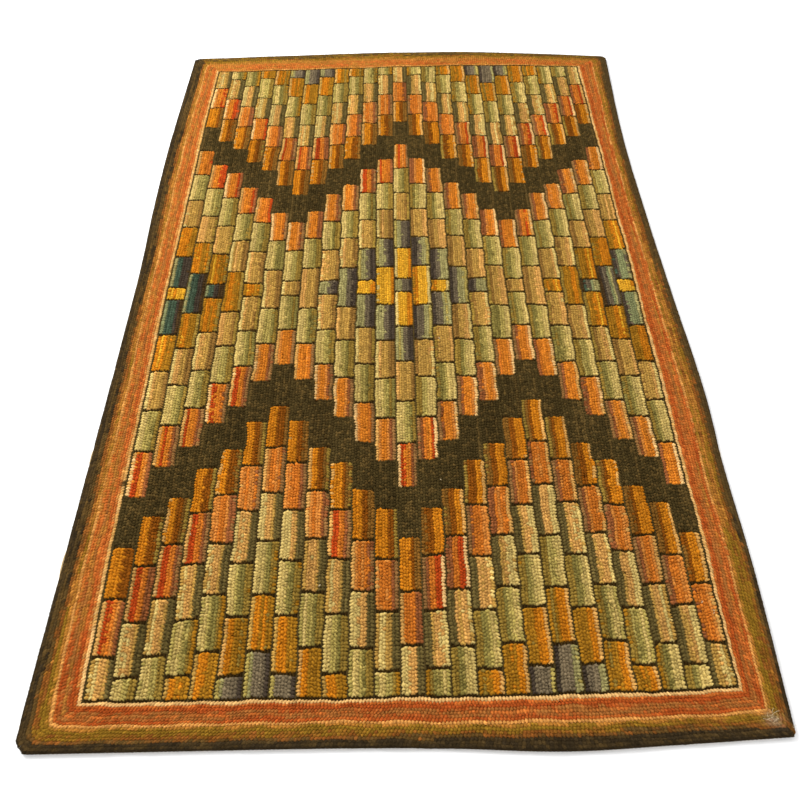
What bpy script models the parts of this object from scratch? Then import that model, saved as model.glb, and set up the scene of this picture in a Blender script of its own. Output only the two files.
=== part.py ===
"""Hooked rug lying flat: a foundation cloth and its looped wool pile, as one solid.

Metres, +Z up. +Y runs along the rug, from its near short edge to its far one, and
+X across it. The origin is at the middle of the underside.
"""

import math

import bpy

# Driving dimensions of a rug of about three feet by five.
HALF_WIDTH = 0.468
HALF_LENGTH = 0.760
THICKNESS = 0.009

# The pile rolls over the edge of the foundation in a quarter round of this radius,
# above and below, in this many steps.
EDGE_RADIUS = 0.0035
EDGE_STEPS = 4

# Spacing of the outline's points along an edge.
EDGE_SPACING = 0.020

# Three corners are nearly square, and the loops round them off a little.
# The near left corner is worn off on a slant. Each pair is the length lost
# from the side edge and from the end edge.
CORNER_LOSS = 0.004
WORN_CORNER_LOSS = (0.014, 0.011)

# How far each edge strays outwards from the straight, along the edge from one end
# (-1) to the other (+1). Side edges run near to far, end edges run left to right.
# Columns: place along the edge, sway outwards in metres.
NEAR_SWAY = ((-1.0, 0.0000), (-0.2, 0.0010), (0.1, 0.0040), (0.4, 0.0108), (0.7, 0.0062), (1.0, 0.0003))
FAR_SWAY = ((-1.0, 0.0010), (-0.6, 0.0112), (-0.2, 0.0214), (0.25, 0.0256), (0.6, 0.0175), (1.0, 0.0030))
LEFT_SWAY = ((-1.0, -0.0005), (0.05, 0.0005), (0.3, 0.0068), (0.55, 0.0098), (0.8, 0.0070), (1.0, 0.0042))
RIGHT_SWAY = (
    (-1.0, -0.0012),
    (-0.7, 0.0055),
    (-0.5, 0.0042),
    (-0.3, 0.0080),
    (0.0, 0.0003),
    (0.3, -0.0062),
    (0.6, -0.0082),
    (1.0, 0.0029),
)

PILE_COLOUR = (0.30, 0.17, 0.06, 1.0)
PILE_ROUGHNESS = 0.95


def sway(table, place):
    """Smooth curve through a sway table: the outward offset at a place along an edge."""
    places = [row[0] for row in table]
    offsets = [row[1] for row in table]
    i = 0
    while i < len(table) - 2 and place > places[i + 1]:
        i += 1
    span = places[i + 1] - places[i]
    t = (place - places[i]) / span

    def slope(k):
        lower, upper = max(k - 1, 0), min(k + 1, len(table) - 1)
        return (offsets[upper] - offsets[lower]) / (places[upper] - places[lower])

    rise = offsets[i + 1] - offsets[i]
    start, end = slope(i) * span, slope(i + 1) * span
    return offsets[i] + start * t + (3 * rise - 2 * start - end) * t**2 + (start + end - 2 * rise) * t**3


def edge_points(point_at, half, loss_at_start, loss_at_end):
    """Points along one edge, from just after one corner to just before the next."""
    start, end = -half + loss_at_start, half - loss_at_end
    count = math.ceil((end - start) / EDGE_SPACING)
    return [point_at(start + (end - start) * k / count) for k in range(count + 1)]


def near_edge(x):
    return x, -HALF_LENGTH - sway(NEAR_SWAY, x / HALF_WIDTH)


def far_edge(x):
    return x, HALF_LENGTH + sway(FAR_SWAY, x / HALF_WIDTH)


def left_edge(y):
    return -HALF_WIDTH - sway(LEFT_SWAY, y / HALF_LENGTH), y


def right_edge(y):
    return HALF_WIDTH + sway(RIGHT_SWAY, y / HALF_LENGTH), y


def rug_outline():
    """The rug's outline, counter-clockwise from the near left corner, centred on the origin."""
    side_loss, end_loss = WORN_CORNER_LOSS
    points = edge_points(near_edge, HALF_WIDTH, end_loss, CORNER_LOSS)
    points += edge_points(right_edge, HALF_LENGTH, CORNER_LOSS, CORNER_LOSS)
    points += edge_points(far_edge, HALF_WIDTH, CORNER_LOSS, CORNER_LOSS)[::-1]
    points += edge_points(left_edge, HALF_LENGTH, side_loss, CORNER_LOSS)[::-1]
    xs = [x for x, y in points]
    ys = [y for x, y in points]
    middle_x, middle_y = (min(xs) + max(xs)) / 2, (min(ys) + max(ys)) / 2
    return [(x - middle_x, y - middle_y) for x, y in points]


def wool_material():
    material = bpy.data.materials.new("wool_pile")
    material.use_nodes = True
    shader = material.node_tree.nodes["Principled BSDF"]
    shader.inputs["Base Color"].default_value = PILE_COLOUR
    shader.inputs["Roughness"].default_value = PILE_ROUGHNESS
    shader.inputs["Metallic"].default_value = 0.0
    material.diffuse_color = PILE_COLOUR
    return material


def hooked_rug():
    """A filled flat curve, thickened, with its edge rounded within the outline."""
    outline = rug_outline()
    curve = bpy.data.curves.new("hooked_rug", "CURVE")
    curve.dimensions = "2D"
    curve.fill_mode = "BOTH"
    curve.extrude = THICKNESS / 2 - EDGE_RADIUS
    curve.bevel_depth = EDGE_RADIUS
    curve.bevel_resolution = EDGE_STEPS - 1
    curve.offset = -EDGE_RADIUS
    spline = curve.splines.new("POLY")
    spline.points.add(len(outline) - 1)
    for point, (x, y) in zip(spline.points, outline):
        point.co = (x, y, 0.0, 1.0)
    spline.use_cyclic_u = True
    curve.materials.append(wool_material())
    rug = bpy.data.objects.new("hooked_rug", curve)
    rug.location = (0.0, 0.0, THICKNESS / 2)
    return rug


for leftover in list(bpy.data.objects):
    bpy.data.objects.remove(leftover)

collection = bpy.data.collections.new("hooked_rug")
bpy.context.scene.collection.children.link(collection)
collection.objects.link(hooked_rug())
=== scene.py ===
# %% [markdown]
# # A hooked rug, loop by loop
#
# A hooked rug is a coarse cloth with wool pulled up through it in rows of small loops.
# The cloth carries the rug and the loops are all that shows from above, so this lesson
# makes the same two things: a thin foundation cloth, and a pile in which every loop of
# wool has its own crest, its own hollow beside it and its own colour.
#
# The pattern is worked out and not painted. A stepped brick design is a counting rule,
# and a hooker who knows the rule needs no picture. The script follows it row by row.

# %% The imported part
import math

import bmesh
import bpy
import numpy as np
from mathutils import Euler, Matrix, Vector


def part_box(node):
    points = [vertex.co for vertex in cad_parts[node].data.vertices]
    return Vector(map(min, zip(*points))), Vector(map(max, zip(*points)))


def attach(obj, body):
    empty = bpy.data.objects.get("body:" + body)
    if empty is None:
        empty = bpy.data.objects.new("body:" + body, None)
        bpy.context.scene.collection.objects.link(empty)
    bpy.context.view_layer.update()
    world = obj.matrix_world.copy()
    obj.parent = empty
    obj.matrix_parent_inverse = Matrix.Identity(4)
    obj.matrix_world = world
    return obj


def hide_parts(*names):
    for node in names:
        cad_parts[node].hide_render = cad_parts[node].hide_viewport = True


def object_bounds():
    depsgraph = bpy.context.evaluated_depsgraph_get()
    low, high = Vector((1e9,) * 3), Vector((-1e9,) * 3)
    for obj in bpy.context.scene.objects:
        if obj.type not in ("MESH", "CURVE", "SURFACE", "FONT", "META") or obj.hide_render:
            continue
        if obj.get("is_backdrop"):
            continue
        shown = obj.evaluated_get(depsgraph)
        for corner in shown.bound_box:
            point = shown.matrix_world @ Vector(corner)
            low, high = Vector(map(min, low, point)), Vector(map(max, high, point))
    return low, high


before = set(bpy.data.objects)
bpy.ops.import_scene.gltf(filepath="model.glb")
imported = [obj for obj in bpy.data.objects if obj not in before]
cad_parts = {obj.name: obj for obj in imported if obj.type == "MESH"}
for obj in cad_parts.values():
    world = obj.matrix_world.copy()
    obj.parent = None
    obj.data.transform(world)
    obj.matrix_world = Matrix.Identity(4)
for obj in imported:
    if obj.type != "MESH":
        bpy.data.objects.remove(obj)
cad_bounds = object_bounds()
rug_low, rug_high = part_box("hooked_rug")
THICKNESS = rug_high.z - rug_low.z
print("rug box in mm:", [round(1000 * side, 1) for side in rug_high - rug_low])

# %% [markdown]
# Everything, from the camera to the pile, is put into the scene in the same way. A
# finish starts from a shader, and nodes get values or links by the names of their
# inputs, with a low line in place of a space.

# %% Helpers for objects and finishes
scene = bpy.context.scene


def put_in_scene(name, data):
    """An object that shows a mesh, a lamp or a camera, linked to the scene."""
    made = bpy.data.objects.new(name, data)
    scene.collection.objects.link(made)
    return made


def mesh_from(bm, name):
    """The mesh of a bmesh that is then done with."""
    mesh = bpy.data.meshes.new(name)
    bm.to_mesh(mesh)
    bm.free()
    return mesh


def connect(socket, value):
    """Link another node's output to a socket, or give the socket a fixed value."""
    if isinstance(value, bpy.types.NodeSocket):
        socket.id_data.links.new(value, socket)
    else:
        socket.default_value = value


def feed(node, **inputs):
    """Connect inputs of a node by their names, and hand the node back."""
    for name, value in inputs.items():
        connect(node.inputs[name.replace("_", " ")], value)
    return node


def start_finish(name, **inputs):
    """A new material, its node tree and its shader, with some of the shader's inputs fed."""
    material = bpy.data.materials.new(name)
    material.use_nodes = True
    tree = material.node_tree
    return material, tree, feed(tree.nodes["Principled BSDF"], **inputs)


# %% [markdown]
# ## The camera
#
# The photographer stood at the near end and looked down at the middle of the rug, so the
# near edge comes out almost twice as wide as the far one. A lens of about 38 mm from
# one and a half metres does the same. The small sideways shift only puts the rug where
# the photograph has it in the frame.

# %% The camera at the near end
FRAME_WIDTH_PX = 800
CAMERA_PLACE = (0.0092, -1.0613, 1.0488)
CAMERA_TILT = (0.6630, -0.0083, -0.0249)
FOCAL_LENGTH_PX = 841.2
VIEW_CENTRE_PX = 428.8

camera_data = bpy.data.cameras.new("camera")
camera_data.sensor_width = 36.0
camera_data.lens = FOCAL_LENGTH_PX / FRAME_WIDTH_PX * camera_data.sensor_width
camera_data.shift_x = 0.5 - VIEW_CENTRE_PX / FRAME_WIDTH_PX
camera = put_in_scene("camera", camera_data)
camera.location = CAMERA_PLACE
camera.rotation_euler = Euler(CAMERA_TILT, "XYZ")
bpy.context.scene.camera = camera
print("lens in mm:", round(camera_data.lens, 2))

# %% [markdown]
# ## Floor and light
#
# The rug was photographed in even light on white. One wide soft lamp, high on the left,
# gives the loops a lit side and a shaded side, and a bright surrounding fills their
# hollows. The floor is a plain pale sheet. The Standard view keeps dyed wool as saturated
# as it is.

# %% A pale floor and one soft lamp
FLOOR_SIZE = 24.0
FLOOR_DROP = 0.0003
FLOOR_SHADE = (0.93, 0.93, 0.93, 1.0)
FLOOR_ROUGHNESS = 0.8
LAMP_SIZE = 1.3
LAMP_PLACE = (-1.6, 1.0, 1.9)
LAMP_POWER = 66.0
SURROUND_SHADE = (1.0, 1.0, 1.0, 1.0)
SURROUND_STRENGTH = 1.04

scene.view_settings.view_transform = "Standard"

surround = bpy.data.worlds.new("surround")
surround.use_nodes = True
feed(surround.node_tree.nodes["Background"], Color=SURROUND_SHADE, Strength=SURROUND_STRENGTH)
scene.world = surround

lamp_data = bpy.data.lights.new("soft_lamp", "AREA")
lamp_data.size = LAMP_SIZE
lamp_data.energy = LAMP_POWER
lamp = put_in_scene("soft_lamp", lamp_data)
lamp.location = LAMP_PLACE
lamp.rotation_euler = Vector(LAMP_PLACE).to_track_quat("Z", "Y").to_euler()

floor_bm = bmesh.new()
bmesh.ops.create_grid(floor_bm, x_segments=1, y_segments=1, size=FLOOR_SIZE / 2)
bmesh.ops.translate(floor_bm, verts=floor_bm.verts, vec=(0.0, 0.0, -FLOOR_DROP))
floor_mesh = mesh_from(floor_bm, "floor")
floor = put_in_scene("floor", floor_mesh)
floor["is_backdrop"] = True
floor_finish = start_finish("pale_floor", Base_Color=FLOOR_SHADE, Roughness=FLOOR_ROUGHNESS)[0]
floor_mesh.materials.append(floor_finish)

# %% [markdown]
# ## The outline
#
# The rug's edges stray from straight, and its near left corner is worn off. The packed
# part has that outline as its widest ring of points. Sorted by their angle round the
# middle, the points run counter-clockwise, and the ring is parted at the four corners
# into the edges that the pile and the cloth share.

# %% Four edges from the part's widest ring
RING_BAND = (0.3 * THICKNESS, 0.7 * THICKNESS)
DIGITS = 5

ring = {
    (round(v.co.x, DIGITS), round(v.co.y, DIGITS))
    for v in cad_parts["hooked_rug"].data.vertices
    if RING_BAND[0] < v.co.z < RING_BAND[1]
}
ring = np.array(sorted(ring, key=lambda p: math.atan2(p[1], p[0])))
steps = np.hypot(*np.diff(ring, axis=0, append=ring[:1]).T)
print("ring points:", len(ring), "perimeter in m:", round(float(steps.sum()), 3))

# %% [markdown]
# A corner is where the ring comes nearest to a point close to a corner of its box. An
# edge is resampled by length between two corners, whatever points the ring has there.

# %% A way to walk along an edge
CORNER_AIM = (0.469, 0.767)
RING_SAMPLES = 40000


def walk(at, places, points):
    """x and y at some places along a line of points, whose own places are given."""
    return np.column_stack([np.interp(at, places, points[:, i]) for i in (0, 1)])


def corner_place(sign_x, sign_y):
    """Distance round the ring at which it is nearest to the point aimed at in one corner."""
    target = np.array([sign_x, sign_y]) * CORNER_AIM
    fine = np.linspace(0.0, ring_length[-1], RING_SAMPLES)
    return fine[np.argmin(np.hypot(*(walk(fine, ring_length, ring_closed) - target).T))]


def edge_length(name):
    """Length of the outline from one corner to the next."""
    start, end = EDGES[name]
    return (end - start) % ring_length[-1]


def edge_walk(name, share):
    """Points of an edge at shares 0 to 1 of the way along it."""
    along = EDGES[name][0] + share * edge_length(name)
    return walk(along % ring_length[-1], ring_length, ring_closed)


ring_closed = np.vstack([ring, ring[:1]])
ring_length = np.concatenate([[0.0], np.cumsum(steps)])
near_left, near_right = corner_place(-1, -1), corner_place(1, -1)
far_right, far_left = corner_place(1, 1), corner_place(-1, 1)
EDGES = {
    "near": (near_left, near_right),
    "right": (near_right, far_right),
    "far": (far_right, far_left),
    "left": (far_left, near_left),
}
for name in EDGES:
    print(name, "edge in mm:", round(1000 * edge_length(name)))

# %% [markdown]
# ## The rows of the field
#
# Inside the border the rug is hooked in rows that run from its near end to its far end.
# Twenty-five columns of bricks stand side by side. Each has seven coloured rows and
# shares one dark row with its neighbour, and the first and last have six: 199 rows of
# about 4 mm in all. The columns lean to the left towards the far end and bow a few
# millimetres, and the middle of the rug is a little broader than its ends.

# %% The dark lines between the columns
COLUMNS = 25
ROWS_IN_COLUMN = 7
FIELD_ROWS = (COLUMNS - 2) * (ROWS_IN_COLUMN + 1) + 2 * (ROWS_IN_COLUMN - 1) + 3
MIDDLE_COLUMN = 13

COLUMN_WIDTH = 0.0330
NARROW_COLUMNS = {1: 0.0315, MIDDLE_COLUMN: 0.0310, COLUMNS: 0.0295}
FIRST_LINE = -0.4102
LEAN_TO_THE_LEFT = 0.0124
BROADER_MIDDLE = 0.0173
BOW_TO_THE_LEFT = 0.0074

# Columns: x, y of the field's near end there, and x, y of its far end.
FIELD_ENDS = (
    (-0.400, -0.7110, -0.414, 0.6985),
    (-0.157, -0.7130, -0.173, 0.7065),
    (0.005, -0.7130, -0.010, 0.7170),
    (0.167, -0.7145, 0.153, 0.7185),
    (0.412, -0.7110, 0.400, 0.7110),
)
END_CURVE_DEGREE = 3
print("rows in the field:", FIELD_ROWS)

# %% [markdown]
# Between two dark lines the rows are spaced evenly. Nobody hooks a dead straight line, so
# each dark line also wanders by about a millimetre, in slow waves that are its own. The
# grid has two steps across each row, so that a row can stand up in its middle, and three
# along each loop. The dark rows get a little more room, as coloured loops lean over them.

# %% Where the rows lie
rng = np.random.default_rng(19)
LOOP_LENGTH = 0.0049
SEGMENTS = 3
FIELD_LOOPS = 290
ROW_WANDER = 0.0008
END_WANDER = 0.0006
LINE_ROOM = 0.00020
GRID_ACROSS = 2 * FIELD_ROWS
GRID_ALONG = SEGMENTS * FIELD_LOOPS


def row_of_line(line):
    """Row number of a dark line: the first row, then every eighth, then the last."""
    if line == 0:
        return 0
    if line == COLUMNS:
        return FIELD_ROWS - 1
    return line * (ROWS_IN_COLUMN + 1) - 1


def slow_waves(count, place, shortest=0.06, longest=0.5, waves=6):
    """Smooth random curves of unit size, one for each row, read at places in metres."""
    lengths = np.geomspace(shortest, longest, waves)
    phases = rng.uniform(0.0, 2 * math.pi, (count, waves, 1))
    swings = rng.normal(0.0, 1.0, (count, waves, 1)) / math.sqrt(waves / 2)
    turns = 2 * math.pi * place[None, None, :] / lengths[None, :, None]
    return (swings * np.sin(turns + phases)).sum(1)


from_middle = np.linspace(-0.5, 0.5, GRID_ALONG + 1)
widths = [NARROW_COLUMNS.get(column, COLUMN_WIDTH) for column in range(1, COLUMNS + 1)]
line_x = FIRST_LINE + np.concatenate([[0.0], np.cumsum(widths)])
off_middle = np.linspace(-1.0, 1.0, COLUMNS + 1)
lines = line_x[:, None] - BROADER_MIDDLE * np.outer(off_middle, from_middle**2)
lines += BOW_TO_THE_LEFT * from_middle**2 - LEAN_TO_THE_LEFT * from_middle
along_field = from_middle * FIELD_LOOPS * LOOP_LENGTH
lines += ROW_WANDER * slow_waves(COLUMNS + 1, along_field, shortest=0.025)

line_places = [2 * row_of_line(line) + 1 for line in range(COLUMNS + 1)]
across = np.arange(GRID_ACROSS + 1)
field_x = np.array([np.interp(across, line_places, lines[:, k]) for k in range(GRID_ALONG + 1)]).T
half_row = (lines[1] - lines[0]) / (2 * ROWS_IN_COLUMN)
field_x[0] -= half_row
field_x[-1] += half_row
for line in range(1, COLUMNS):
    field_x[line_places[line] - 1] -= LINE_ROOM
    field_x[line_places[line] + 1] += LINE_ROOM

near_x, near_y, far_x, far_y = np.array(FIELD_ENDS).T
near_end = np.polyval(np.polyfit(near_x, near_y, END_CURVE_DEGREE), field_x[:, 0])
far_end = np.polyval(np.polyfit(far_x, far_y, END_CURVE_DEGREE), field_x[:, -1])
for end in (near_end, far_end):
    end += END_WANDER * slow_waves(1, field_x[:, 0], shortest=0.03, longest=0.2)[0]
half_pitch = float(np.diff(field_x[:, GRID_ALONG // 2])[1:-1].mean())
print("row pitch in mm:", round(1000 * 2 * half_pitch, 2))

# %% [markdown]
# ## The wools
#
# The hooker had about forty lots of dyed wool. Each gets a plain name and its shade in
# the rug, as on a dye card. The shades are sRGB, and a shader needs linear values.

# %% The dye card
WOOLS = {
    "line_brown": "38280f",
    "zigzag_olive": "43361b",
    "zigzag_moss": "584523",
    "straw": "caae66",
    "cream": "dcb070",
    "peach": "c8954e",
    "tan": "b08840",
    "brown_tan": "88632e",
    "bronze": "8c702e",
    "moss": "62532c",
    "umber": "46331c",
    "lime": "c0a55e",
    "pale_sage": "a6924c",
    "sage": "807238",
    "apricot": "c87e36",
    "orange": "c26e24",
    "bright_orange": "cb7824",
    "red": "ae4216",
    "mauve": "8c522c",
    "taupe": "8a6236",
    "marigold": "bf7417",
    "old_gold": "9a6a1a",
    "gold": "c07618",
    "brown_gold": "82480f",
    "dark_gold": "7c5420",
    "yellow": "d89f2a",
    "grey_sage": "9a8f5a",
    "ash": "7a6a50",
    "slate": "6a5c46",
    "navy": "44392e",
    "sea_green": "828458",
    "teal": "42523f",
    "border_cream": "deae6c",
    "border_red": "aa4e1e",
    "border_rose": "a0642e",
    "border_flame": "be662a",
    "border_line": "d09048",
    "border_olive": "8a661e",
    "border_rust": "885020",
    "border_gold": "b0742e",
    "border_brown": "5c4522",
    "border_umber": "4b3a20",
    "border_dark": "32281a",
}
WOOL_NUMBER = {name: number for number, name in enumerate(WOOLS)}


def two_wools(entry, prefix=""):
    """Numbers of the two wools of an entry such as straw/peach, or of a lone wool twice."""
    names = (entry.split("/") * 2)[:2]
    return [WOOL_NUMBER[prefix + name if prefix + name in WOOLS else name] for name in names]


def linear(shade):
    """Linear red, green and blue of a six-figure sRGB shade."""
    channels = np.array([int(shade[i:i + 2], 16) / 255 for i in (0, 2, 4)])
    return np.where(channels <= 0.04045, channels / 12.92, ((channels + 0.055) / 1.055) ** 2.4)


dye_card = np.array([linear(shade) for shade in WOOLS.values()])
print("wools on the card:", len(WOOLS))

# %% [markdown]
# ## The bricks
#
# A brick is one column wide and about 80 mm long. Its seven rows are hooked in different
# wools from its light side to its shaded side, which makes it look round. The light
# side is on the left in the left half of the rug, and on the right in the right half.
# Where two names stand with a stroke between them, the second wool takes over now and then.

# %% The rows of each brick, from its light side to its shaded side
BRICKS = {
    "zigzag": " ".join(["zigzag_olive/zigzag_moss"] * 7),
    "orange": "peach/cream apricot/bright_orange bright_orange bright_orange "
        "bright_orange/apricot mauve/orange taupe/mauve",
    "red_orange": "peach/cream red/bright_orange red/bright_orange bright_orange "
        "orange/apricot mauve/orange taupe/mauve",
    "shaded_red": "peach/cream apricot/bright_orange bright_orange bright_orange/orange "
        "orange/red red/orange mauve/red",
    "green": "lime/straw lime/straw pale_sage/lime pale_sage sage/pale_sage bronze/sage bronze/sage",
    "tan": "straw/peach peach/tan tan/peach tan tan brown_tan/tan brown_tan/bronze",
    "slate": "grey_sage/pale_sage grey_sage/pale_sage grey_sage slate/grey_sage slate navy/slate navy",
    "yellow": "yellow/straw yellow yellow yellow yellow marigold/yellow marigold/old_gold",
    "side_yellow": "marigold/yellow yellow yellow/marigold yellow yellow yellow/marigold old_gold",
    "old_gold": "old_gold/marigold marigold/yellow marigold old_gold/marigold "
        "old_gold/marigold old_gold/marigold bronze/old_gold",
    "teal": "sea_green/grey_sage teal/sea_green teal teal/navy navy/teal navy/umber umber",
    "sea_green": "slate/grey_sage sea_green/grey_sage sea_green sea_green/slate "
        "slate/sea_green navy/teal umber",
    "outer_gold": "marigold/peach gold/marigold gold brown_gold/gold "
        "brown_gold dark_gold/brown_gold dark_gold/bronze",
    "outer_orange": "peach/apricot apricot/orange orange orange/apricot "
        "orange/apricot mauve/orange taupe/mauve",
    "outer_red": "peach/cream red red/orange orange orange/apricot mauve taupe/mauve",
    "outer_tan": "tan/straw straw/peach peach/straw peach/tan tan/peach moss moss",
    "outer_green": "pale_sage/straw lime/straw lime/pale_sage pale_sage/sage "
        "sage/pale_sage bronze bronze/old_gold",
    "outer_marigold": "tan/peach marigold marigold/gold old_gold/marigold "
        "old_gold/gold old_gold/bronze old_gold",
    "outer_slate": "grey_sage/pale_sage grey_sage/ash ash ash ash/slate ash/slate navy",
}
BRICK_NUMBER = {name: number for number, name in enumerate(BRICKS)}
brick_wools = np.array([[two_wools(row) for row in rows.split()] for rows in BRICKS.values()])
print("kinds of brick:", len(BRICKS))

# %% [markdown]
# The counting rule starts at the centre line across the rug. In odd columns a short
# brick lies across it, and in even columns a full one, so neighbours are half a brick
# apart. One brick in each column is the dark zigzag, which steps inwards and out again
# twice across the rug and so makes a diamond in the middle and half a diamond at each
# side. Every other brick takes its colour from how far inside or outside the zigzag it
# lies. In some orange bricks the hooker used up a bright red, mostly on the light side
# and in a few on the shaded one. Those are listed by their step and their columns.

# %% The counting rule
INSIDE_THE_DIAMOND = ("zigzag", "orange", "green", "tan", "slate", "yellow", "slate")
INSIDE_THE_SIDES = ("zigzag", "orange", "green", "tan", "old_gold", "teal", "side_yellow")
OUTSIDE = (
    "zigzag", "outer_gold", "outer_orange", "outer_tan", "outer_green", "outer_marigold", "outer_slate",
)
# Steps from the centre line, and the columns of the bricks there.
RED_BRICKS = {
    -8: (1,), -7: (2, 3, 14, 15), -6: (4, 10), -5: (1, 13), -4: (2, 3, 14), -3: (4, 5),
    2: (20,), 4: (11, 12), 5: (6, 7, 8, 13, 18, 19, 20), 6: (17, 21, 22), 7: (23, 24), 8: (25,),
}
SHADED_RED_BRICKS = {
    3: (4, 5), 4: (2, 3), 5: (1,), 6: (4,), 7: (2,), 8: (1,),
}
TURN_COLUMNS = 6
LEAST_STEP = 3


def zigzag_step(column):
    """How many bricks from the centre line the zigzag lies in a column."""
    from_middle = abs(MIDDLE_COLUMN - column)
    return LEAST_STEP + abs(TURN_COLUMNS - from_middle) // 2


def brick_at(column, step):
    """Kind of the brick that lies so many steps from the centre line, below 0 if nearer."""
    inside = zigzag_step(column) - abs(step)
    if inside < 0:
        kind = OUTSIDE[min(-inside, len(OUTSIDE) - 1)]
    elif abs(MIDDLE_COLUMN - column) <= TURN_COLUMNS:
        kind = INSIDE_THE_DIAMOND[inside]
    else:
        kind = INSIDE_THE_SIDES[inside]
    if column in RED_BRICKS.get(step, ()):
        kind = {"orange": "red_orange", "outer_orange": "outer_red"}[kind]
    if column in SHADED_RED_BRICKS.get(step, ()):
        kind = "shaded_red"
    if kind == "teal" and column > MIDDLE_COLUMN:
        kind = "sea_green"
    return kind


print("middle column:", [brick_at(MIDDLE_COLUMN, step) for step in range(9)])

# %% [markdown]
# The courses of bricks sag towards the near end at both sides, a little more so in the
# far half, and slant by a few millimetres. Bricks get slightly shorter towards the far end.

# %% Where the bricks end
CENTRE_LINE = 0.0080
SHORT_HALF, FULL_HALF = 0.21, 0.60
BRICK_LENGTH = 0.0802
SHORTENING = (0.000092, 0.000018)
SLANT, SAG, SAG_GROWTH = 0.0033, 0.0105, 0.00085
HALF_FIELD = 0.405
END_JITTER, END_TILT, ROW_JITTER = 0.0015, 0.0016, 0.0005
COURSES = 9


def brick_ends(column):
    """Ends of the bricks of a column, from the near end of the rug to the far one."""
    middle = field_x[row_of_line(column - 1) + row_of_line(column) + 1, GRID_ALONG // 2]
    off = middle / HALF_FIELD
    outwards = np.arange(COURSES) + (SHORT_HALF if column % 2 else FULL_HALF)
    count = np.concatenate([-outwards[::-1], outwards])
    ends = CENTRE_LINE + BRICK_LENGTH * count - SHORTENING[0] * count**2 - SHORTENING[1] * count**3
    ends += SLANT * off - (SAG + SAG_GROWTH * count) * off**2
    return ends + rng.normal(0.0, END_JITTER, len(ends))


# %% [markdown]
# ## Counting the loops into their bricks
#
# A hooker works each brick with a whole number of loops and closes it with a dark one.
# So in each row the loop nearest to a brick's end becomes the dark loop, centred on that
# end and a little shorter, and the loops between two ends share the room that is left.
# Every row starts a third or two thirds of a loop out of step with the last one, and its
# loops drift in slow waves, because loops never line up by hand. The dark loops at a
# brick's corners are longer, which rounds the corners off.

# %% Where the loops lie
END_LOOP = 0.0042
CORNER_LOSS = 0.0013
LOOP_DRIFT = 0.0012
CLEAR_OF_EDGE = 0.0085
TIES_GO_DOWN = 0.1
grid_along = np.arange(GRID_ALONG + 1)


def out_of_step(rows):
    """A starting phase for each row, always different from the row before."""
    return np.cumsum(rng.integers(1, SEGMENTS, rows)) % SEGMENTS


def loop_places(near, far, ends, phase, end_loop):
    """Places along a row of all its grid points, and the numbers of its dark loops."""
    last = (GRID_ALONG - 1 + phase) // SEGMENTS
    marks = {0: near, SEGMENTS - phase: near + END_LOOP}
    marks |= {last * SEGMENTS - phase: far - END_LOOP, GRID_ALONG: far}
    dark = [0, last]
    for end in ends:
        if near + CLEAR_OF_EDGE < end < far - CLEAR_OF_EDGE:
            loop = round(((end - near) / (far - near) * GRID_ALONG + phase) / SEGMENTS - 0.5)
            marks[loop * SEGMENTS - phase] = end - end_loop / 2
            marks[(loop + 1) * SEGMENTS - phase] = end + end_loop / 2
            dark.append(loop)
    steps = sorted(marks)
    places = np.interp(grid_along, steps, [marks[step] for step in steps])
    to_mark = np.abs(grid_along[:, None] - np.array(steps)[None, :]).min(1)
    free = np.clip(to_mark / (2 * SEGMENTS), 0.0, 1.0)
    return places + LOOP_DRIFT * free * slow_waves(1, places, shortest=0.02, longest=0.07)[0], dark


field_phases = out_of_step(FIELD_ROWS)
row_y = np.linspace(near_end[1::2], far_end[1::2], GRID_ALONG + 1, axis=1)
brick_of = np.zeros((FIELD_ROWS, FIELD_LOOPS + 1), int)
stripe_of = np.zeros_like(brick_of)
step_of = np.zeros_like(brick_of)
is_line = np.ones(brick_of.shape, bool)
loops = np.arange(FIELD_LOOPS + 1)

for column in range(1, COLUMNS + 1):
    first, last = row_of_line(column - 1) + 1, row_of_line(column)
    ends = brick_ends(column)
    tilts = rng.normal(0.0, END_TILT, len(ends)) / ROWS_IN_COLUMN
    bricks = [brick_at(column, step) for step in range(-COURSES, COURSES + 1)]
    kinds = np.array([BRICK_NUMBER[brick] for brick in bricks])
    for row in range(first, last):
        place = row - (first + last - 1) / 2
        near, far = near_end[2 * row + 1], far_end[2 * row + 1]
        row_ends = ends + tilts * place + rng.normal(0.0, ROW_JITTER, len(ends))
        end_loop = END_LOOP + CORNER_LOSS * (row in (first, last - 1))
        row_y[row], dark = loop_places(near, far, row_ends, field_phases[row], end_loop)
        starts = np.clip(loops * SEGMENTS - field_phases[row], 0, GRID_ALONG)
        centre = np.interp(starts + SEGMENTS / 2, grid_along, row_y[row])
        step = np.searchsorted(row_ends, centre)
        lit = place if column <= MIDDLE_COLUMN else -place
        brick_of[row], step_of[row] = kinds[step], step
        stripe_of[row] = round(lit + (ROWS_IN_COLUMN - 1) / 2 - TIES_GO_DOWN)
        is_line[row] = np.isin(loops, dark)

is_zigzag = (brick_of == BRICK_NUMBER["zigzag"]) & (stripe_of > 0)
print("loops in the field:", FIELD_ROWS * FIELD_LOOPS, "dark:", int(is_line.sum()))

# %% [markdown]
# ## Choosing the wools
#
# Every loop looks up its wool by the kind of its brick and its row in it. The second wool
# of a row mostly takes over for a whole brick, as a strip of wool lasts about that long,
# and now and then for a single loop. The zigzag is mixed loop by loop. In the right half
# the bricks have paler edges, so there the outermost row takes its two wools the other
# way round.

# %% A wool for every loop of the field
TURN_SHARE = 0.34
BRICK_TOGETHER = 0.97
ZIGZAG_TOGETHER = 0.30


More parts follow.
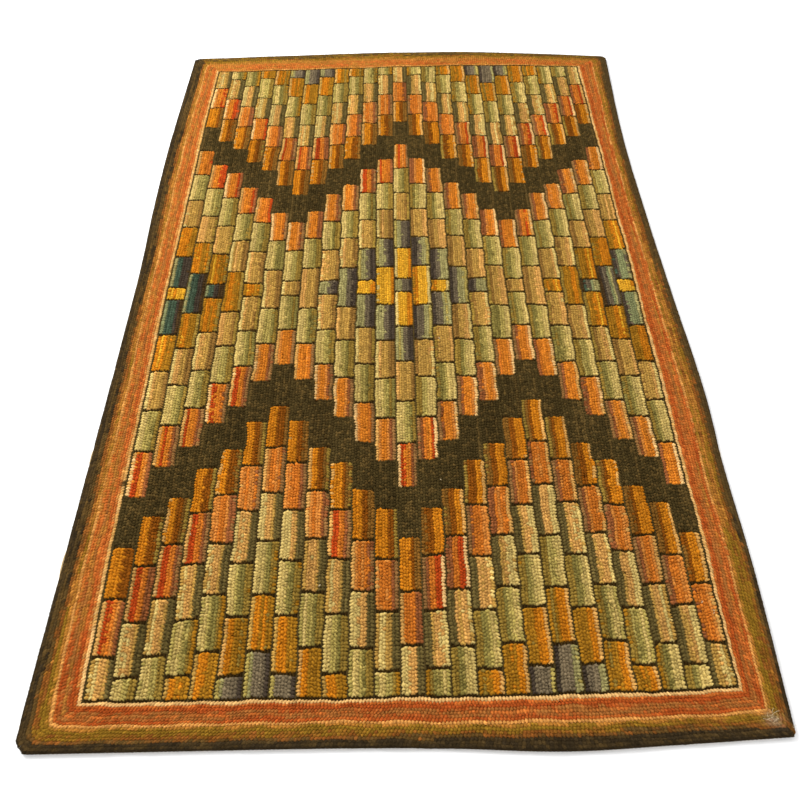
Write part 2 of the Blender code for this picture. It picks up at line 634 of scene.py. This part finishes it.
def spread(groups, together):
    """Noise of unit size for every loop, of which a part is common to its row and group."""
    common = rng.normal(0.0, 1.0, (groups.shape[0], groups.max() + 1))
    own = rng.normal(0.0, 1.0, groups.shape)
    return together * np.take_along_axis(common, groups, axis=1) + math.sqrt(1 - together**2) * own


def take_turns(groups, together):
    """For every loop, 0 for the first wool of its row or 1 for the second."""
    mood = spread(groups, together)
    return (mood > np.quantile(mood, 1 - TURN_SHARE)).astype(int)


by_loop = take_turns(step_of, ZIGZAG_TOGETHER)
by_brick = take_turns(step_of, BRICK_TOGETHER)
turns = np.where(is_zigzag, by_loop, by_brick)
in_right_half = np.arange(FIELD_ROWS)[:, None] > row_of_line(MIDDLE_COLUMN)
turns = np.where((stripe_of == 0) & in_right_half, 1 - turns, turns)
field_wool = brick_wools[brick_of, np.clip(stripe_of, 0, ROWS_IN_COLUMN - 1), turns]
for line in range(COLUMNS + 1):
    is_line[row_of_line(line)] = True
near_zigzag = np.zeros_like(is_line)
near_zigzag[1:-1] = is_zigzag[:-2] | is_zigzag[2:]
by_zigzag = near_zigzag | (brick_of == BRICK_NUMBER["zigzag"])
line_wool = np.where(by_zigzag, WOOL_NUMBER["zigzag_olive"], WOOL_NUMBER["line_brown"])
field_wool = np.where(is_line, line_wool, field_wool)
print("share of dark loops:", round(float(is_line.mean()), 3))

# %% [markdown]
# ## The shape of the pile
#
# A loop is a little arch of wool, about 4 mm wide and 5 mm long. Modelled one by one,
# more than fifty thousand arches would be far too heavy, so the pile is one continuous
# surface with six faces to each loop. Its two shoulders stand up in the middle of the
# row, and it meets the next loops in hollows. Where one row has a loop and the next a
# hollow or a dark loop, the loop bulges over, which gives the toothed edges between
# colours. Edges between loops stay sharp, so each loop is shaded as a bead of its own.
# All round, the field's edge slips a little under the border.

# %% Relief of the loops
CREST = 0.0088
# Beside each height stands the painted light of that place: 1 on a crest, less in the hollows and
# valleys, where the wool finish paints shade.
HOLLOW, HOLLOW_PAINTED_LIGHT = 0.0077, 0.66
VALLEY, VALLEY_PAINTED_LIGHT = 0.0064, 0.35
VALLEY_RISE, PAINTED_LIGHT_RISE = 0.0005, 0.16
OVER_LINE_RISE, OVER_LINE_PAINTED_LIGHT = 0.0008, 0.50
RIM = 0.0057
SEAM_UNDER = 0.0004
SUNK_LINE = 0.0009
BULGE = 0.0015
LOOP_JITTER = 0.00040
SHOULDER_JITTER = 0.00030
GAP_JITTER = 0.00070
PLACE_JITTER = 0.00038
STANDING, FALLEN = 0.5, -1.0


def loop_relief(phases, along, low_loops=None):
    """Height, painted light, sideways bulge and lengthways shift of every grid point of some rows."""
    reach = np.arange(along + 1)[None, :] + phases[:, None]
    gap, loop = reach % SEGMENTS == 0, reach // SEGMENTS
    line = np.zeros_like(gap)
    if low_loops is not None:
        line = np.take_along_axis(low_loops, loop, axis=1)
    low = gap | line
    lift = rng.normal(0.0, LOOP_JITTER, (len(phases), loop.max() + 1))
    crest = CREST + np.take_along_axis(lift, loop, axis=1)
    crest += rng.normal(0.0, SHOULDER_JITTER, gap.shape)
    stands = np.where(low, FALLEN, STANDING)
    stands = np.vstack([stands[:1], stands, stands[-1:]])
    beside = stands[:-1] + stands[1:]
    height = np.empty((2 * len(phases) + 1, along + 1))
    painted_light, bulge, shift = np.ones_like(height), np.zeros_like(height), np.zeros_like(height)
    height[1::2] = np.where(gap, HOLLOW, crest) - SUNK_LINE * (low & ~gap)
    lean = (stands[:-1] - stands[1:]) / (STANDING - FALLEN)
    lined = np.pad(line, ((1, 1), (0, 0)))
    over_line = abs(lean) * (lined[:-1] != lined[1:])
    height[0::2] = VALLEY + VALLEY_RISE * beside + OVER_LINE_RISE * over_line
    painted_light[1::2][gap] = HOLLOW_PAINTED_LIGHT
    painted_light[0::2] = VALLEY_PAINTED_LIGHT + PAINTED_LIGHT_RISE * beside + OVER_LINE_PAINTED_LIGHT * over_line
    bulge[0::2] = BULGE * lean
    shift[1::2] = np.where(gap, rng.normal(0.0, GAP_JITTER, gap.shape), 0.0)
    return height, painted_light, bulge, shift


field_z, field_painted_light, bulge, shift = loop_relief(field_phases, GRID_ALONG, is_line & ~near_zigzag)
field_y = np.empty_like(field_z)
field_y[1::2] = row_y
field_y[2:-1:2] = (row_y[:-1] + row_y[1:]) / 2
field_y[0], field_y[-1] = row_y[0], row_y[-1]
inner = (slice(1, -1), slice(1, -1))
field_x[inner] += bulge[inner] + rng.normal(0.0, PLACE_JITTER, bulge[inner].shape)
field_y[inner] += shift[inner] + rng.normal(0.0, PLACE_JITTER, bulge[inner].shape)
field_y[:, 0], field_y[:, -1] = near_end, far_end
for edge in ((0, slice(None)), (-1, slice(None)), (slice(None), 0), (slice(None), -1)):
    field_z[edge] = RIM - SEAM_UNDER
seam = {
    "near": np.column_stack([field_x[:, 0], field_y[:, 0]]),
    "right": np.column_stack([field_x[-1], field_y[-1]]),
    "far": np.column_stack([field_x[::-1, -1], field_y[::-1, -1]]),
    "left": np.column_stack([field_x[0, ::-1], field_y[0, ::-1]]),
}
field_x[0] -= SEAM_UNDER
field_x[-1] += SEAM_UNDER
field_y[:, 0] -= SEAM_UNDER
field_y[:, -1] += SEAM_UNDER
field_points = np.stack([field_x, field_y, field_z], axis=-1)
print("pile height in mm:", [round(1000 * float(z), 1) for z in (field_z.min(), field_z.max())])

# %% [markdown]
# ## From grid to pile
#
# One helper makes every piece of pile. It starts from a flat grid, as a cloth would,
# moves each point to its place, and stores the colour of each loop and how much painted
# light each point gets, less the further down its loop it lies.

# %% A helper that makes a piece of pile


def pile_piece(name, points, painted_light, colours, phases):
    """A piece of pile from a grid of points. colours has one entry for each row and loop."""
    count_a, count_b = points.shape[0] - 1, points.shape[1] - 1
    bm = bmesh.new()
    bmesh.ops.create_grid(bm, x_segments=count_a, y_segments=count_b, size=0.5)
    mesh = mesh_from(bm, name)

    flat = np.empty(len(mesh.vertices) * 3, np.float32)
    mesh.vertices.foreach_get("co", flat)
    flat = flat.reshape(-1, 3)
    a = np.rint((flat[:, 0] + 0.5) * count_a).astype(int)
    b = np.rint((flat[:, 1] + 0.5) * count_b).astype(int)
    mesh.vertices.foreach_set("co", points[a, b].astype(np.float32).ravel())
    # The painted light of each point, for the shade that the wool finish paints in hollows.
    painted_lights = mesh.attributes.new("painted_light", "FLOAT", "POINT")
    painted_lights.data.foreach_set("value", painted_light[a, b].astype(np.float32))

    corner = np.empty(len(mesh.loops), np.int32)
    mesh.loops.foreach_get("vertex_index", corner)
    row = a[corner].reshape(-1, 4).min(1) // 2
    loop = (b[corner].reshape(-1, 4).min(1) + phases[row]) // SEGMENTS
    colour = np.ones((len(row), 4, 4), np.float32)
    colour[:, :, :3] = colours[row, loop][:, None, :]
    paint = mesh.color_attributes.new("wool", "FLOAT_COLOR", "CORNER")
    paint.data.foreach_set("color", colour.ravel())

    ends = np.empty(len(mesh.edges) * 2, np.int32)
    mesh.edges.foreach_get("vertices", ends)
    start, end = ends.reshape(-1, 2).T
    along_valley = (a[start] == a[end]) & (a[start] % 2 == 0)
    row = np.minimum(np.minimum(a[start], a[end]) // 2, len(phases) - 1)
    between_loops = (a[start] != a[end]) & ((b[start] + phases[row]) % SEGMENTS == 0)
    sharp = mesh.attributes.new("sharp_edge", "BOOLEAN", "EDGE")
    sharp.data.foreach_set("value", along_valley | between_loops)

    bake = mesh.uv_layers.new(name="OFBake")
    flat_place = np.column_stack([a / count_a, b / count_b])[corner]
    bake.data.foreach_set("uv", flat_place.astype(np.float32).ravel())
    mesh.shade_smooth()
    mesh.update()
    print(name, "triangles:", 2 * len(mesh.polygons))
    return put_in_scene(name, mesh)


# %% [markdown]
# ## The field
#
# The field is made in five pieces of five columns each, because one of more than half a
# million triangles is hard to open. They part beside dark lines and share their points
# there, so no gap shows. Colours differ a little from loop to loop, from one strip of
# wool to the next and from brick to brick, as hand-dyed wool does.

# %% Five strips of the field
STRIP_COLUMNS = 5
LOOP_SHADE, BRICK_SHADE = 0.13, 0.06
SHADE_TOGETHER = 0.60

brick_tone = BRICK_SHADE * rng.normal(0.0, 1.0, (COLUMNS + 1, 2 * COURSES + 1))
column_of = np.arange(FIELD_ROWS)[:, None] // (ROWS_IN_COLUMN + 1)
loop_tone = LOOP_SHADE * spread(step_of, SHADE_TOGETHER)
field_colours = dye_card[field_wool] * np.exp(loop_tone)[..., None]
field_colours *= np.exp(brick_tone[column_of, step_of])[..., None]
pile = []
for first_column in range(0, COLUMNS, STRIP_COLUMNS):
    start = row_of_line(first_column)
    last_strip = first_column + STRIP_COLUMNS == COLUMNS
    end = FIELD_ROWS if last_strip else row_of_line(first_column + STRIP_COLUMNS)
    grid_rows = slice(2 * start, 2 * end + 1)
    pile.append(pile_piece(
        f"field_pile_{first_column // STRIP_COLUMNS + 1}",
        field_points[grid_rows],
        field_painted_light[grid_rows],
        field_colours[start:end],
        field_phases[start:end],
    ))

# %% [markdown]
# ## The border
#
# The border is sixteen rows that follow the edges of the rug and turn its corners on a
# slant. From the field outwards they are cream, shades of red and rose, a fine pale
# line, gold, olive, rust, and dark rows that roll over the edge and hide the cloth. The
# rows share the width from field to outline, so the stripes widen and narrow with it.
# Each row names its wools along the near end, the left side, the right side and the far
# end. A second table says at which row the dark band begins along each edge, and the
# stripes outside the pale line are fitted to that. The two wools of a row melt into each
# other along it, as dip-dyed strips do.

# %% The rows of the border
# Columns: near end, left side, right side, far end. Wools of the border are named here
# without the word border in front.
BORDER_ROWS = (
    "cream peach/cream cream/peach gold/line",
    "flame/red flame/line flame/red flame/gold",
    "red flame/red red/flame flame/gold",
    "rose/red flame/gold flame/rose flame/gold",
    "rose/flame rose/gold rose/flame gold/flame",
    "rose/red flame/gold flame/gold flame/gold",
    "red/flame flame/gold flame/red gold/flame",
    "line line/gold line/flame gold",
    "gold/olive gold/olive gold/olive gold/olive",
    "olive gold/rust gold/rust olive/gold",
    "olive/rust rust/gold gold/olive olive",
    "rust/olive rust/brown rust/olive rust/olive",
    "brown/rust brown/dark brown/rust brown/olive",
    "dark/umber umber/brown umber/brown brown/olive",
    "dark/umber dark/umber umber brown",
    "dark dark dark/umber brown",
)
border_wools = np.array([
    [two_wools(entry, "border_") for entry in row.split()] for row in BORDER_ROWS
])
PATTERN_COLUMN = {"near": 0, "left": 1, "right": 2, "far": 3}
CHANGE_HEIGHT = -0.62
CHANGE_SPREAD = 0.08
PALE_ROW, DARK_ROWS = 7, 4
# Row at which the dark band begins, at shares of the way along each edge, counter-clockwise.
DARK_FROM = {
    "near": (
        (0.0, 11.6), (0.25, 12.2), (0.5, 11.5), (0.7, 11.0), (0.82, 10.3), (0.92, 10.7), (1.0, 11.8),
    ),
    "right": ((0.0, 13.2), (0.12, 12.8), (0.25, 12.2), (0.5, 11.4), (0.75, 10.8), (1.0, 10.6)),
    "far": ((0.0, 11.4), (1.0, 11.4)),
    "left": ((0.0, 10.4), (0.5, 10.5), (0.8, 10.9), (1.0, 11.6)),
}
DARK_WANDER = 0.15
BLEND_WAVES = dict(shortest=0.025, longest=0.3)
BLEND_GRAIN = 0.8
BLEND_LEVEL, BLEND_SHARPNESS = 0.5, 1.8
print("border rows:", len(BORDER_ROWS))

# %% [markdown]
# Across the border the pile lies flat and then turns down in an arc. The path across it
# is measured along that curve, so the last rows keep their width as they roll over, and
# they are packed so tightly that their loops hardly stand out. The loops of the first
# row reach over the dark row beside it like teeth. In a few spots the edge is worn, and
# the pile stands back by about a millimetre. Near the right corner a patch is rubbed, and
# its wool has gone pale and grey. The tip of that corner is hooked in gold, and on the
# left one loop of the cream row is dark.

# %% A helper that lays out one side of the border
ROLL_RADIUS = 0.0036
ROLL_TURN = math.radians(105)
ROLL_INSET = -0.0004
BASE_HEIGHT = 0.0068
# Worn spots: share of the way along the edge, half the spot's length as a share of it, depth.
WORN_EDGES = {
    "near": ((0.006, 0.006, 0.0012),),
    "right": ((0.27, 0.012, 0.0007),),
    "far": (),
    "left": ((0.725, 0.012, 0.0010), (0.84, 0.020, 0.0010), (0.985, 0.006, 0.0008)),
}
TOOTH_REACH, TOOTH_BASE, TOOTH_RISE = 0.0009, 0.0065, 0.0006
TOOTH_UNEVEN = (0.3, 1.7)
RUBBED_PLACE = (0.441, -0.747)
# Spots of another colour: place, reach across and along the rug, strength, shade.
SPOTS = (
    (RUBBED_PLACE, (0.011, 0.007), 0.60, "b4a084"),
    ((0.465, -0.761), (0.004, 0.006), 0.80, "945c1c"),
    ((-0.409, -0.391), (0.0045, 0.0050), 1.0, "2a2012"),
)
STRIPE_WANDER = 0.0008
ROW_DRIFT = 0.0005
CALM_HEIGHT = 0.0076
EDGE_CALM = ((0.0, 0.85), (0.72, 0.75), (0.85, 0.35), (1.0, 0.2))


def seam_walk(name, share):
    """Points of the seam between field and border at shares 0 to 1 along one side."""
    return walk(share, np.linspace(0.0, 1.0, len(seam[name])), seam[name])


def worn_back(name, share):
    """How far the pile stands back at shares of the way along an edge."""
    back = np.zeros_like(share)
    for at, span, depth in WORN_EDGES[name]:
        back += depth * np.exp(-(((share - at) / span) ** 2))
    return back


def border_side(name):
    """Points, painted light, colours and phases for one side of the border."""
    loops = round(edge_length(name) / LOOP_LENGTH)
    phases = out_of_step(len(BORDER_ROWS))
    share = np.linspace(0.0, 1.0, SEGMENTS * loops + 1)
    inside, outside = seam_walk(name, share), edge_walk(name, share)
    width = np.hypot(*(outside - inside).T)
    outwards = (outside - inside) / width[:, None]

    height, painted_light, bulge, shift = loop_relief(phases, SEGMENTS * loops)
    calm = np.interp(np.linspace(0.0, 1.0, len(height)), *zip(*EDGE_CALM))[:, None]
    height = CALM_HEIGHT + calm * (height - CALM_HEIGHT)
    bulge *= calm
    flat = width - ROLL_INSET - ROLL_RADIUS - worn_back(name, share)
    whole = flat + ROLL_RADIUS * ROLL_TURN
    rows = np.linspace(0.0, 1.0, len(height))
    path = rows[:, None] * whole[None, :]
    along = share * loops * LOOP_LENGTH
    path += STRIPE_WANDER * np.sin(math.pi * rows)[:, None] * slow_waves(1, along)
    path[2:-1] += ROW_DRIFT * slow_waves(len(rows) - 3, along)
    path[1:] += bulge[1:] + rng.normal(0.0, PLACE_JITTER, bulge[1:].shape)
    tooth = (np.arange(len(share)) + phases[0]) % SEGMENTS != 0
    path[0] = -TOOTH_REACH * tooth * rng.uniform(*TOOTH_UNEVEN, len(share))
    height[0] = TOOTH_BASE + TOOTH_RISE * tooth
    for corner in (0, -1):
        path[:, corner] = rows * whole[corner]
        height[:, corner] = np.where(np.arange(len(rows)) % 2, HOLLOW, VALLEY)

    turn = np.clip((path - flat) / ROLL_RADIUS, 0.0, ROLL_TURN)
    bow = ROLL_RADIUS + height - BASE_HEIGHT
    reach = np.minimum(path, flat) + bow * np.sin(turn)
    points = np.empty((*height.shape, 3))
    points[..., :2] = inside + outwards * reach[..., None]
    points[..., 2] = BASE_HEIGHT - ROLL_RADIUS + bow * np.cos(turn)

    count = len(BORDER_ROWS)
    along_edge = np.linspace(0.0, 1.0, loops + 2)
    seam_at, edge_at = walk(along_edge, share, inside), walk(along_edge, share, outside)
    row = np.arange(count)[:, None] + 0.5
    loop_spots = seam_at + row[..., None] / count * (edge_at - seam_at)

    along_metres = along_edge * loops * LOOP_LENGTH
    dark_from = np.interp(along_edge, *zip(*DARK_FROM[name]))
    dark_from = dark_from + DARK_WANDER * slow_waves(1, along_metres)
    stretch = (count - DARK_ROWS - PALE_ROW - 1) / (dark_from - PALE_ROW - 1)
    outer_stripes = PALE_ROW + 1 + (row - PALE_ROW - 1) * stretch
    dark_band = count - (count - row) / (count - dark_from) * DARK_ROWS
    beyond = np.where(row < dark_from, outer_stripes, dark_band)
    pattern = np.where(row < PALE_ROW + 1, row, beyond).astype(int)
    above = loop_spots[..., 1] + rng.normal(0.0, CHANGE_SPREAD, (count, 1)) > CHANGE_HEIGHT
    part = np.where(above, PATTERN_COLUMN[name], PATTERN_COLUMN["near"])

    mood = slow_waves(count, along_metres, **BLEND_WAVES)
    mood = mood + BLEND_GRAIN * rng.normal(0.0, 1.0, part.shape)
    second = 1.0 / (1.0 + np.exp(-BLEND_SHARPNESS * (mood - BLEND_LEVEL)))
    first_wool, second_wool = np.moveaxis(dye_card[border_wools[pattern, part]], 2, 0)
    colours = first_wool + second[..., None] * (second_wool - first_wool)
    colours *= np.exp(LOOP_SHADE * rng.normal(0.0, 1.0, part.shape))[..., None]
    for place, reach, strength, shade in SPOTS:
        nearness = np.exp(-(((loop_spots - place) / reach) ** 2).sum(-1))[..., None]
        colours += strength * nearness * (linear(shade) - colours)
    return points, painted_light, colours, phases


for name in EDGES:
    pile.append(pile_piece(f"border_pile_{name}", *border_side(name)))

# %% [markdown]
# ## Wool
#
# Wool is matt and a little fuzzy. The shader takes each loop's own colour, darkens it
# down in the hollows, which little light reaches, breaks it up with fine fibres, and adds
# a soft sheen for the fuzz. The fibres are also a very small bump. The finishes of the
# cloth and the threads are made of the same few parts, so those come first.

# %% What the finishes share
FIBRE_RANGE = (0.3, 0.7)


def object_place(tree):
    """The place of each point of a piece, in metres."""
    return tree.nodes.new("ShaderNodeTexCoord").outputs["Object"]


def noise(tree, scale, detail=2.0):
    """A fine noise between 0 and 1 that stays on its piece."""
    node = tree.nodes.new("ShaderNodeTexNoise")
    return feed(node, Vector=object_place(tree), Scale=scale, Detail=detail).outputs["Fac"]


def arithmetic(tree, operation, *terms):
    """What a math node makes of some outputs and numbers."""
    node = tree.nodes.new("ShaderNodeMath")
    node.operation = operation
    for socket, term in zip(node.inputs, terms):
        connect(socket, term)
    return node.outputs["Value"]


def rescale(tree, value, source, target):
    """An output moved from one range to another."""
    node = feed(tree.nodes.new("ShaderNodeMapRange"), Value=value)
    feed(node, From_Min=source[0], From_Max=source[1], To_Min=target[0], To_Max=target[1])
    return node.outputs["Result"]


def shade_ramp(tree, shader, value, places, shades):
    """Colour a shader from one shade to another as an output rises."""
    ramp = feed(tree.nodes.new("ShaderNodeValToRGB"), Fac=value)
    for element, place, shade in zip(ramp.color_ramp.elements, places, shades):
        element.position = place
        element.color = (*linear(shade), 1.0)
    feed(shader, Base_Color=ramp.outputs["Color"])


def roughen(tree, shader, height, distance):
    """Raise a shader's surface with an output, by a distance in metres."""
    bump = feed(tree.nodes.new("ShaderNodeBump"), Height=height, Distance=distance)
    feed(shader, Normal=bump.outputs["Normal"])


# %% The wool finish
# Painted shade: the darkest the wool is painted, deep down in the hollows between loops.
PAINTED_ROOT_SHADE = 0.40
FIBRE_SCALE = 900.0
FIBRE_SHADE = (0.55, 1.45)
FIBRE_BUMP = 0.00018
SHEEN = dict(Sheen_Weight=0.03, Sheen_Roughness=0.6, Sheen_Tint=(1.0, 0.75, 0.4, 1.0))
MATT = dict(Roughness=0.92, Specular_IOR_Level=0.0)


def wool_finish():
    """Matt wool in each loop's own colour, with shade painted into the hollows between loops."""
    material, tree, shader = start_finish("looped_wool", **MATT, **SHEEN)
    colour = tree.nodes.new("ShaderNodeAttribute")
    colour.attribute_name = "wool"
    painted_light = tree.nodes.new("ShaderNodeAttribute")
    painted_light.attribute_name = "painted_light"
    fibre = noise(tree, FIBRE_SCALE)
    # Painted shade: the less painted light a point has, the darker its wool, down to the root shade.
    depth = rescale(tree, painted_light.outputs["Fac"], (0.0, 1.0), (PAINTED_ROOT_SHADE, 1.0))
    shade = arithmetic(tree, "MULTIPLY", depth, rescale(tree, fibre, FIBRE_RANGE, FIBRE_SHADE))
    tint = tree.nodes.new("ShaderNodeVectorMath")
    tint.operation = "SCALE"
    connect(tint.inputs[0], colour.outputs["Color"])
    feed(tint, Scale=shade)
    feed(shader, Base_Color=tint.outputs["Vector"])
    roughen(tree, shader, fibre, FIBRE_BUMP)
    return material


looped_wool = wool_finish()
for piece in pile:
    piece.data.materials.append(looped_wool)

# %% [markdown]
# ## The foundation cloth
#
# Under the loops lies a coarse, even cloth such as burlap, with a hem folded under all
# round. It is made flat from a grid that is stretched between the rug's four edges, then
# given its thickness. The hem is double, so the cloth inside it lies a little higher off
# the floor. Only its folded edge shows, as a pale sliver here and there: where the pile is
# worn back, the fold has slipped out from under it by a few millimetres.

# %% A cloth stretched between the four edges
CLOTH_COUNT = (60, 96)
CLOTH_TOP = 0.0026
HEM_WIDTH = 0.027
HEM_TAPER = 0.0008
HEM_STEP = 0.0009
CLOTH_INSET = 0.0009
FOLD_RADIUS = 0.0007
FOLD_ANGLE = math.radians(60)
HEM_CELLS = 1.5
SLIPPED_OUT = 4.5
WIDTH_BETWEEN_CORNERS, LENGTH_BETWEEN_CORNERS = 0.94, 1.52


def stretched(u, v):
    """Places in the rug for shares u across and v along, exact on all four edges."""
    near = edge_walk("near", u)
    far = edge_walk("far", 1 - u)
    left = edge_walk("left", 1 - v)
    right = edge_walk("right", v)
    corners = [edge_walk(name, np.zeros(1)) for name in EDGES]
    u, v = u[:, None], v[:, None]
    sides = (1 - v) * near + v * far + (1 - u) * left + u * right
    corner_part = (1 - u) * (1 - v) * corners[0] + u * (1 - v) * corners[1]
    corner_part += u * v * corners[2] + (1 - u) * v * corners[3]
    return sides - corner_part


def hem_share(place, count, length):
    """Share of the way across for a grid place, with grid lines at the hem's edge."""
    hem, inside = HEM_WIDTH / length, (HEM_WIDTH + HEM_TAPER) / length
    lines = [0, 1, 2, count - 2, count - 1, count]
    return np.interp(place, lines, [0, hem, inside, 1 - inside, 1 - hem, 1])


def rounded(vert):
    """A point's place in plan, rounded so that points above each other agree."""
    return round(vert.co.x, DIGITS), round(vert.co.y, DIGITS)


cloth_bm = bmesh.new()
bmesh.ops.create_grid(cloth_bm, x_segments=CLOTH_COUNT[0], y_segments=CLOTH_COUNT[1], size=0.5)
cells = np.array([(vert.co.x + 0.5, vert.co.y + 0.5) for vert in cloth_bm.verts]) * CLOTH_COUNT
across_share = hem_share(cells[:, 0], CLOTH_COUNT[0], WIDTH_BETWEEN_CORNERS)
along_share = hem_share(cells[:, 1], CLOTH_COUNT[1], LENGTH_BETWEEN_CORNERS)
places = stretched(across_share, along_share)
places *= 1 - CLOTH_INSET / np.array([rug_high.x, rug_high.y])
at_left, at_right = cells[:, 0] < 0.5, cells[:, 0] > CLOTH_COUNT[0] - 0.5
places[at_left, 0] -= SLIPPED_OUT * worn_back("left", 1 - along_share[at_left])
places[at_right, 0] += SLIPPED_OUT * worn_back("right", along_share[at_right])
for vert, place in zip(cloth_bm.verts, places):
    vert.co = (place[0], place[1], CLOTH_TOP)
near_edge = np.minimum(cells, CLOTH_COUNT - cells).min(1) < HEM_CELLS
in_hem = {rounded(vert) for vert, is_hem in zip(cloth_bm.verts, near_edge) if is_hem}
bmesh.ops.solidify(cloth_bm, geom=cloth_bm.faces, thickness=CLOTH_TOP)
for vert in cloth_bm.verts:
    if vert.co.z < CLOTH_TOP / 2:
        vert.co.z = 0.0 if rounded(vert) in in_hem else HEM_STEP
folds = [edge for edge in cloth_bm.edges if edge.calc_face_angle(0.0) > FOLD_ANGLE]
bmesh.ops.bevel(
    cloth_bm, geom=folds, offset=FOLD_RADIUS, segments=2, profile=0.5, material=-1, affect="EDGES",
)
heights = [vert.co.z for vert in cloth_bm.verts]
print("cloth z range in mm:", [round(1000 * z, 2) for z in (min(heights), max(heights))])
cloth_mesh = mesh_from(cloth_bm, "foundation_cloth")
cloth = put_in_scene("foundation_cloth", cloth_mesh)

# %% [markdown]
# The cloth is woven from threads of about two millimetres. Two sets of fine bands at right
# angles make the weave, as colour and as a small bump. A fine noise adds the slubs of the
# yarn, and the ramp turns the sum of all three into shades of undyed jute.

# %% The cloth finish
THREAD_PITCH = 0.0021
BANDS_PER_UNIT = 20.0
BAND_SCALE = 2 * math.pi / (BANDS_PER_UNIT * THREAD_PITCH)
UNEVEN_BANDS = dict(Distortion=0.6, Detail_Scale=1.5)
SLUB_SCALE, SLUB_DETAIL = 260.0, 3.0
WEAVE_SHARE = 0.35
WEAVE_SHADES = ("8a6f46", "cdb385")
SHADE_RANGE = (0.45, 1.05)
WEAVE_BUMP = 0.0003
ROUGH_JUTE = dict(Roughness=0.95, Specular_IOR_Level=0.05)


def cloth_finish():
    """Undyed jute, woven from two sets of threads."""
    material, tree, shader = start_finish("coarse_cloth", **ROUGH_JUTE)
    sets = []
    for direction in "XY":
        bands = tree.nodes.new("ShaderNodeTexWave")
        bands.bands_direction = direction
        feed(bands, Vector=object_place(tree), Scale=BAND_SCALE, **UNEVEN_BANDS)
        sets.append(bands.outputs["Fac"])
    weave = arithmetic(tree, "ADD", *sets)
    slubs = noise(tree, SLUB_SCALE, SLUB_DETAIL)
    uneven = arithmetic(tree, "MULTIPLY_ADD", weave, WEAVE_SHARE, slubs)
    shade_ramp(tree, shader, uneven, SHADE_RANGE, WEAVE_SHADES)
    roughen(tree, shader, weave, WEAVE_BUMP)
    return material


cloth_mesh.materials.append(cloth_finish())

# %% [markdown]
# ## Loose threads
#
# Near the right end of the near border the pile is rubbed thin, and pale threads lie over
# it in a tangle. Bits of pale lint are caught in the pile elsewhere. Every thread is a
# thin round curve through a few points of a walk that bends gently, laid on the loops.

# %% Threads and lint
THREAD_POINTS = 5
THREAD_RADIUS = 0.00022
THREAD_LIFT = 0.0004
THREAD_BEND = 0.16
THREADS_REACH = (0.006, 0.004)
RUBBED_THREADS = 6
THREAD_LENGTHS = (0.005, 0.016)
CORNER_TIP = (0.4655, -0.7620)
TIP_REACH, TIP_THREADS = (0.001, 0.003), 3
LINT_PLACES = (
    (0.051, -0.397), (0.392, -0.594), (-0.115, -0.560), (0.405, -0.610),
    (0.060, -0.120), (-0.300, -0.480), (0.210, 0.150), (-0.050, 0.330),
)
LINT_REACH, LINT_THREADS = (0.0005, 0.0005), 2
LINT_LENGTHS = (0.002, 0.004)
LINT_RADIUS = 0.00040


def add_thread(curve, start, length, heading):
    """A spline that starts at a place and wanders off on top of the pile."""
    spline = curve.splines.new("POLY")
    spline.points.add(THREAD_POINTS - 1)
    x, y = start
    bend = rng.normal(0.0, THREAD_BEND)
    for i, point in enumerate(spline.points):
        on_top = CREST + THREAD_LIFT + rng.normal(0.0, THREAD_LIFT / 2)
        point.co = (x, y, on_top, 1.0)
        heading += bend + rng.normal(0.0, THREAD_BEND)
        x += math.cos(heading) * length / THREAD_POINTS
        y += math.sin(heading) * length / THREAD_POINTS


def thread_piece(name, threads, radius):
    """A mesh piece of round threads, each given as its start, its length and its heading."""
    curve = bpy.data.curves.new(name, "CURVE")
    curve.dimensions = "3D"
    curve.bevel_depth = radius
    curve.bevel_resolution = 1
    curve.use_fill_caps = True
    for thread in threads:
        add_thread(curve, *thread)
    maker = bpy.data.objects.new(name, curve)
    mesh = bpy.data.meshes.new_from_object(maker)
    bpy.data.objects.remove(maker)
    mesh.name = name
    print(name, "triangles:", sum(len(face.vertices) - 2 for face in mesh.polygons))
    return put_in_scene(name, mesh)


def scatter(centre, reach, count, lengths):
    """Threads scattered round a place, in random directions."""
    for start in rng.normal(centre, reach, (count, 2)):
        yield start, rng.uniform(*lengths), rng.uniform(0.0, 2 * math.pi)


rubbed = list(scatter(RUBBED_PLACE, THREADS_REACH, RUBBED_THREADS, THREAD_LENGTHS))
rubbed += scatter(CORNER_TIP, TIP_REACH, TIP_THREADS, LINT_LENGTHS)
lint = []
for spot in LINT_PLACES:
    lint += scatter(spot, LINT_REACH, LINT_THREADS, LINT_LENGTHS)
threads = [
    thread_piece("loose_threads", rubbed, THREAD_RADIUS),
    thread_piece("lint", lint, LINT_RADIUS),
]

# %% [markdown]
# Undyed thread is matt and never of one shade: a fine noise gives it darker fibres.

# %% The thread finish
THREAD_SHADES = ("98835c", "dccba8")
THREAD_FIBRE_SCALE = 1400.0
THREAD_BUMP = 0.00005
THREAD_ROUGHNESS = 0.9


def thread_finish():
    """Undyed thread with darker fibres."""
    material, tree, shader = start_finish("pale_thread", Roughness=THREAD_ROUGHNESS)
    fibre = noise(tree, THREAD_FIBRE_SCALE)
    shade_ramp(tree, shader, fibre, FIBRE_RANGE, THREAD_SHADES)
    roughen(tree, shader, fibre, THREAD_BUMP)
    return material


pale_thread = thread_finish()
for piece in threads:
    piece.data.materials.append(pale_thread)

# %% [markdown]
# ## Handing over
#
# Every piece is tied to the part's one body, and the sizes before and after are kept
# side by side.

# %% Pieces tied to the body, and sizes
for piece in [cloth, *pile, *threads]:
    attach(piece, "root")
    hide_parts("hooked_rug")

boxes = {"cad": cad_bounds, "visual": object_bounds()}
{key: [list(map(float, corner)) for corner in box] for key, box in boxes.items()}
